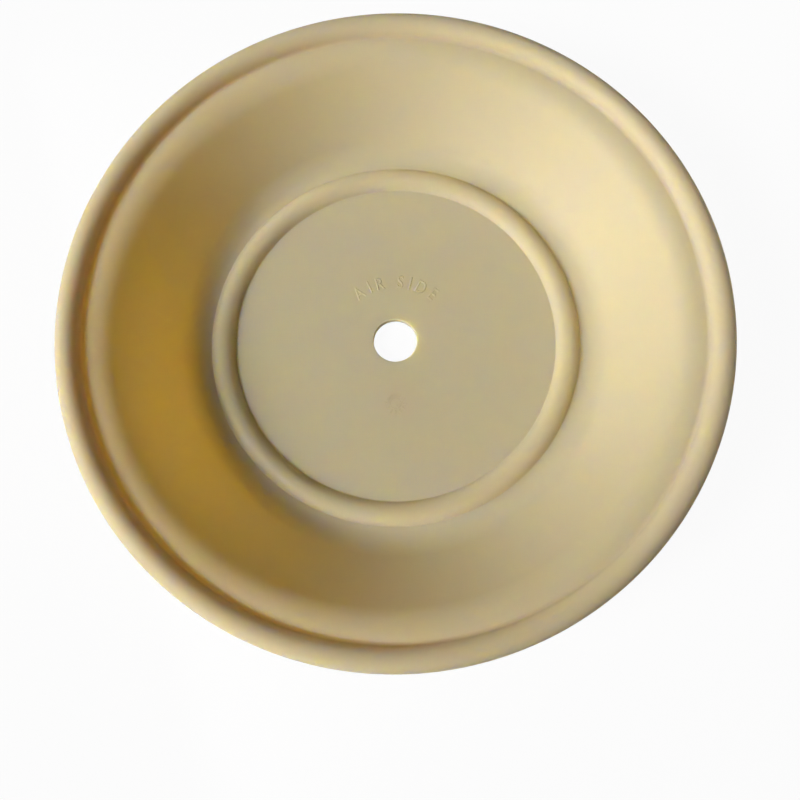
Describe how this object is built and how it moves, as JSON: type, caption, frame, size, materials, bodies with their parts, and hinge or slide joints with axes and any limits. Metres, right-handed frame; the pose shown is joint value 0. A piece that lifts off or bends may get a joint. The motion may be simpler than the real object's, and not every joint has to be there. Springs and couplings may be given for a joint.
{
  "type": "pump diaphragm",
  "caption": "Dished pump diaphragm moulded in one piece, with a flat bored hub, a ring bead round the piston seat, a rolled flexing web and a round clamping bead at the rim.",
  "frame": {"origin": "on the axis, at the fluid face of the hub, which the part lies on", "axes": "+Z along the axis from the fluid side to the air side; +Y points to the side mark, and the mould's date dial lies towards -Y"},
  "size_m": [0.354, 0.354, 0.0548],
  "materials": {
    "moulded_rubber": "matte, as moulded, cream"
  },
  "bodies": {
    "root": {"diaphragm": "moulded_rubber"}
  },
  "joints": []
}
